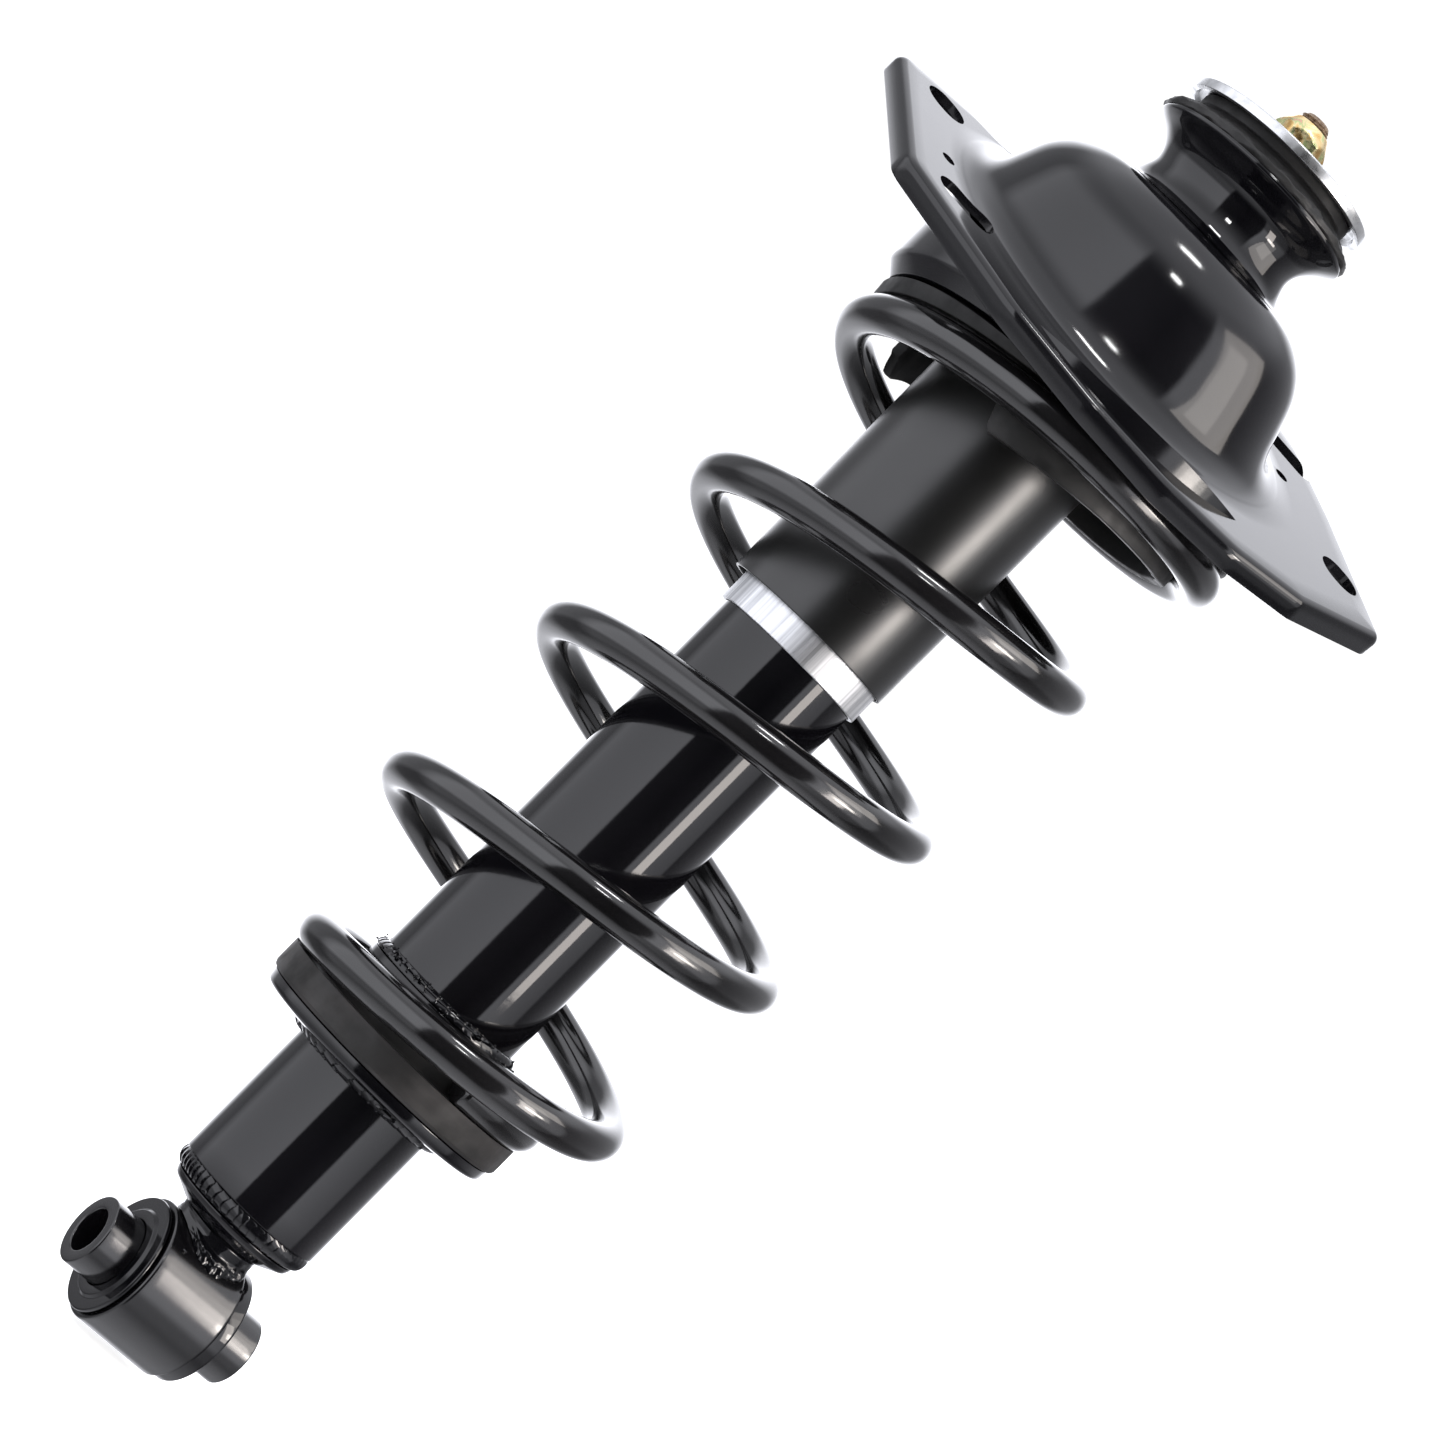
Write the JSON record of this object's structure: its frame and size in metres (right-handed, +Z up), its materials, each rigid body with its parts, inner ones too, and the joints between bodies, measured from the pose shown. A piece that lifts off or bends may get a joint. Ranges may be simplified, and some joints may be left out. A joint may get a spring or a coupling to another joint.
{
  "type": "strut assembly",
  "caption": "Rear suspension strut: twin-tube damper with coil spring, tilted stamped upper mount with bolt holes, rubber bushes, dust tube and a lower eye with a bushed sleeve.",
  "frame": {"origin": "where the piston rod's axis meets the top face of the upper mount's bolting flange", "axes": "+Z up along the piston rod towards the rod nut; +X along the lower eye's bolt; +Y completes the right-handed frame, and the flange faces up and towards -Y"},
  "size_m": [0.2144, 0.1785, 0.5551],
  "materials": {
    "gloss_black_paint": "gloss black electrocoat on steel",
    "spring_coating": "semi-gloss black powder coat",
    "satin_black": "satin black moulded plastic",
    "black_rubber": "matte moulded rubber",
    "zinc_plate": "bright zinc plate",
    "yellow_zinc": "yellow zinc plate",
    "bare_steel": "oiled bare steel",
    "chromed_rod": "hard chrome, ground",
    "sintered_iron": "sintered, matte grey",
    "urethane_foam": "microcellular polyurethane",
    "ptfe_band": "bronze-filled PTFE"
  },
  "bodies": {
    "upper_mount": {"mount_plate": "gloss_black_paint", "neck_cup": "gloss_black_paint", "upper_bush": "black_rubber", "lower_bush": "black_rubber", "bush_sleeve": "bare_steel", "lower_washer": "bare_steel", "upper_washer": "zinc_plate", "rod_nut": "yellow_zinc", "piston_rod": "chromed_rod", "piston": "sintered_iron", "piston_band": "ptfe_band", "intake_valve_disc": "bare_steel", "rebound_valve_discs": "bare_steel", "piston_nut": "bare_steel", "rebound_stop_ring": "bare_steel", "rebound_bumper": "black_rubber", "bump_stop_cup": "bare_steel", "bump_stop": "urethane_foam", "dust_tube": "satin_black", "coil_spring": "spring_coating", "upper_spring_seat": "gloss_black_paint", "upper_isolator": "black_rubber"},
    "damper_body": {"outer_tube": "gloss_black_paint", "striker_cap": "zinc_plate", "rod_seal": "black_rubber", "rod_guide": "sintered_iron", "pressure_tube": "bare_steel", "base_valve": "sintered_iron", "base_valve_disc": "bare_steel", "base_valve_spring": "bare_steel", "base_weld": "gloss_black_paint", "base_cap": "gloss_black_paint", "lower_spring_seat": "gloss_black_paint", "hub_weld": "gloss_black_paint", "pan_weld": "gloss_black_paint", "lower_isolator": "black_rubber", "eye_stem": "gloss_black_paint", "eye_ring": "gloss_black_paint", "eye_bush": "black_rubber"},
    "lower_sleeve": {"eye_sleeve": "gloss_black_paint"}
  },
  "joints": [
    {"name": "strut_stroke", "type": "slide", "parent": "upper_mount", "child": "damper_body", "axis": [0, 0, 1], "range_m": [0, 0.096], "stiffness_N_per_m": 28000, "springref_m": -0.004, "deforming": ["coil_spring"]},
    {"name": "eye_twist", "type": "hinge", "parent": "damper_body", "child": "lower_sleeve", "pos_m": [0, 0, -0.4394], "axis": [1, 0, 0], "range_deg": [-15, 15], "stiffness_Nm_per_rad": 40}
  ]
}
